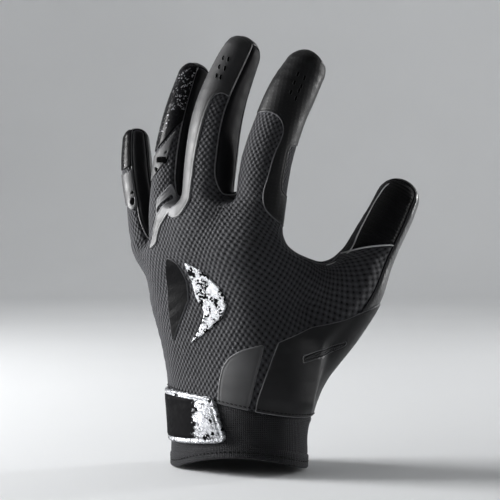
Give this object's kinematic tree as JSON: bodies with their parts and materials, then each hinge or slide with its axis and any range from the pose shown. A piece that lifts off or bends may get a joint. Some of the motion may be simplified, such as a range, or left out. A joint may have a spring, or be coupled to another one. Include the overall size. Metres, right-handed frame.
{
  "type": "football glove",
  "caption": "Left-hand football receiver's glove with a grip palm, knit back, smooth films over the fingers and a pull tab at the wrist, open for a hand.",
  "frame": {"origin": "centre of the wrist opening, level with the lowest point of the hem", "axes": "+Z from the wrist to the fingertips, -Y out of the back of the hand, +X towards the thumb"},
  "size_m": [0.1711, 0.0968, 0.2392],
  "materials": {
    "back_knit": "matte stretch knit",
    "grip": "glossy tacky silicone",
    "side_stretch": "smooth stretch cloth",
    "thumb_rib": "ribbed smooth cloth",
    "cuff_knit": "fine matte knit",
    "film": "satin printed film",
    "gloss_film": "glossy printed film",
    "foil": "silver crackle foil"
  },
  "bodies": {
    "root": {"back_panel": "back_knit", "palm_panel": "grip", "fourchette_index_middle": "side_stretch", "fourchette_middle_ring": "side_stretch", "fourchette_ring_little": "side_stretch", "web_gusset": "back_knit", "thumb_panel": "thumb_rib", "cuff": "cuff_knit", "index_overlay": "film", "middle_overlay": "film", "ring_overlay_tip": "gloss_film", "ring_overlay_side": "film", "little_overlay_tip": "gloss_film", "little_overlay_side": "film", "wrist_overlay_small": "film", "wrist_overlay_large": "film", "strap_tab": "foil", "emblem_dark": "gloss_film", "emblem_light": "foil"}
  },
  "joints": []
}
